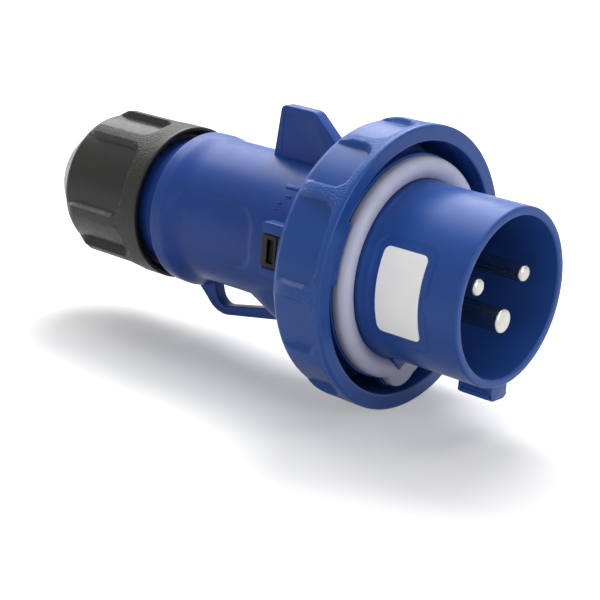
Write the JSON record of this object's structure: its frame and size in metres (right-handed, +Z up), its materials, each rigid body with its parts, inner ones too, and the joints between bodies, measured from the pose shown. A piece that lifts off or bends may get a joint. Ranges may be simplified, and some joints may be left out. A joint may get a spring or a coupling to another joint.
{
  "type": "industrial plug",
  "caption": "Round industrial plug with three contacts, blue shroud, bayonet coupling ring, grip handle with fin and strap, and a black cable gland",
  "frame": {"origin": "centre of the shroud's round front face, on the plug's long axis", "axes": "+X points out of the contacts along the plug's long axis, +Z points up through the fin, the key lug is on -Z"},
  "size_m": [0.19, 0.094, 0.094],
  "materials": {
    "shell_blue": "satin moulded",
    "ring_blue": "satin moulded",
    "handle_blue": "satin moulded",
    "seal_grey": "soft matt",
    "label_white": "matt film",
    "insert_dark": "satin",
    "black_plastic": "satin, fine grain",
    "latch_black": "satin",
    "contact_metal": "nickel plated, polished",
    "screw_steel": "zinc plated",
    "rubber_black": "matt",
    "cage_grey": "satin"
  },
  "bodies": {
    "plug_body": {"front_shell": "shell_blue", "label": "label_white", "face_seal": "seal_grey", "line_pin": "contact_metal", "neutral_pin": "contact_metal", "earth_pin": "contact_metal", "line_screw": "screw_steel", "neutral_screw": "screw_steel", "earth_screw": "screw_steel", "contact_carrier": "insert_dark", "carrier_cover": "insert_dark", "cover_screws": "screw_steel", "handle_body": "handle_blue", "body_seal": "rubber_black", "gland_cage": "cage_grey", "gland_seal": "rubber_black"},
    "ring": {"coupling_ring": "ring_blue"},
    "latch_l": {"latch_left": "latch_black"},
    "latch_r": {"latch_right": "latch_black"},
    "thrust": {"thrust_ring": "cage_grey"},
    "nut": {"gland_nut": "black_plastic"}
  },
  "joints": [
    {"name": "ring_turn", "type": "hinge", "parent": "plug_body", "child": "ring", "pos_m": [-0.05, 0, 0], "axis": [1, 0, 0], "range_deg": [-45, 45]},
    {"name": "latch_left_slide", "type": "slide", "parent": "plug_body", "child": "latch_l", "axis": [-1, 0, 0], "range_m": [0, 0.003]},
    {"name": "latch_right_slide", "type": "slide", "parent": "plug_body", "child": "latch_r", "axis": [-1, 0, 0], "range_m": [0, 0.003]},
    {"name": "gland_travel", "type": "slide", "parent": "plug_body", "child": "thrust", "axis": [-1, 0, 0], "range_m": [0, 0.005]},
    {"name": "gland_turn", "type": "hinge", "parent": "thrust", "child": "nut", "pos_m": [-0.15, 0, 0], "axis": [-1, 0, 0], "range_deg": [0, 720]}
  ],
  "couplings": [
    {"joint": "gland_travel", "follows": "gland_turn", "m_per_rad": 0.00039789}
  ]
}
